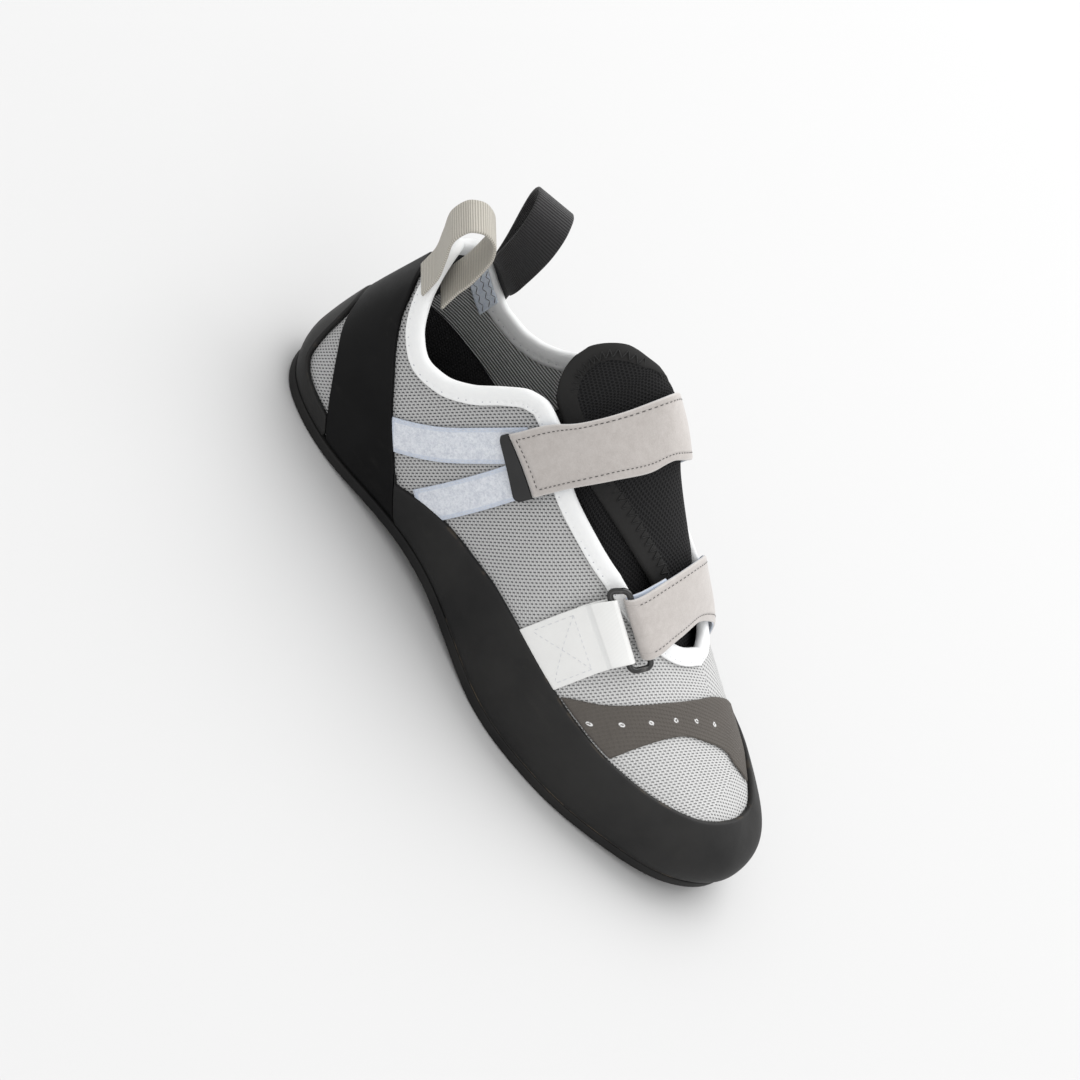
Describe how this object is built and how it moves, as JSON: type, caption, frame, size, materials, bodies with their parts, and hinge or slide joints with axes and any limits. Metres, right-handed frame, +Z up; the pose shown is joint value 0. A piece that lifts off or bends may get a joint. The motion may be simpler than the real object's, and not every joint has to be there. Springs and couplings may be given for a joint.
{
  "type": "climbing shoe",
  "caption": "Right climbing shoe with a hollow knitted upper, curved rubber sole and rand, heel band, split tongue, hook-and-loop straps, wire ring and heel pull loops.",
  "frame": {"origin": "centre of the bounding box at floor level", "axes": "+X from heel to toe, +Y towards the inner side of the foot, +Z up"},
  "size_m": [0.2648, 0.0978, 0.1256],
  "materials": {
    "rubber_black": "matte",
    "rubber_band": "matte",
    "knit_grey": "perforated knit",
    "overlay_taupe": "matte print on knit",
    "binding_white": "soft",
    "mesh_black": "spacer mesh",
    "suede_grey": "microsuede",
    "patch_pale": "looped pile",
    "label_black": "matte",
    "ring_black": "semi-gloss",
    "webbing_beige": "ribbed webbing",
    "webbing_black": "ribbed webbing",
    "board_dark": "matte"
  },
  "bodies": {
    "root": {"upper": "knit_grey", "outsole": "rubber_black", "insole": "board_dark", "rand": "rubber_black", "slingshot": "rubber_band", "heel_rand": "rubber_black", "collar_binding": "binding_white", "tongue_medial": "mesh_black", "tongue_lateral": "mesh_black", "toe_band": "overlay_taupe", "strap_upper": "suede_grey", "strap_upper_tab": "label_black", "loop_patch_upper": "patch_pale", "loop_patch_lower": "patch_pale", "strap_lower": "suede_grey", "ring_tab": "binding_white", "ring": "ring_black", "pull_loop_lateral": "webbing_beige", "pull_loop_medial": "webbing_black"}
  },
  "joints": []
}
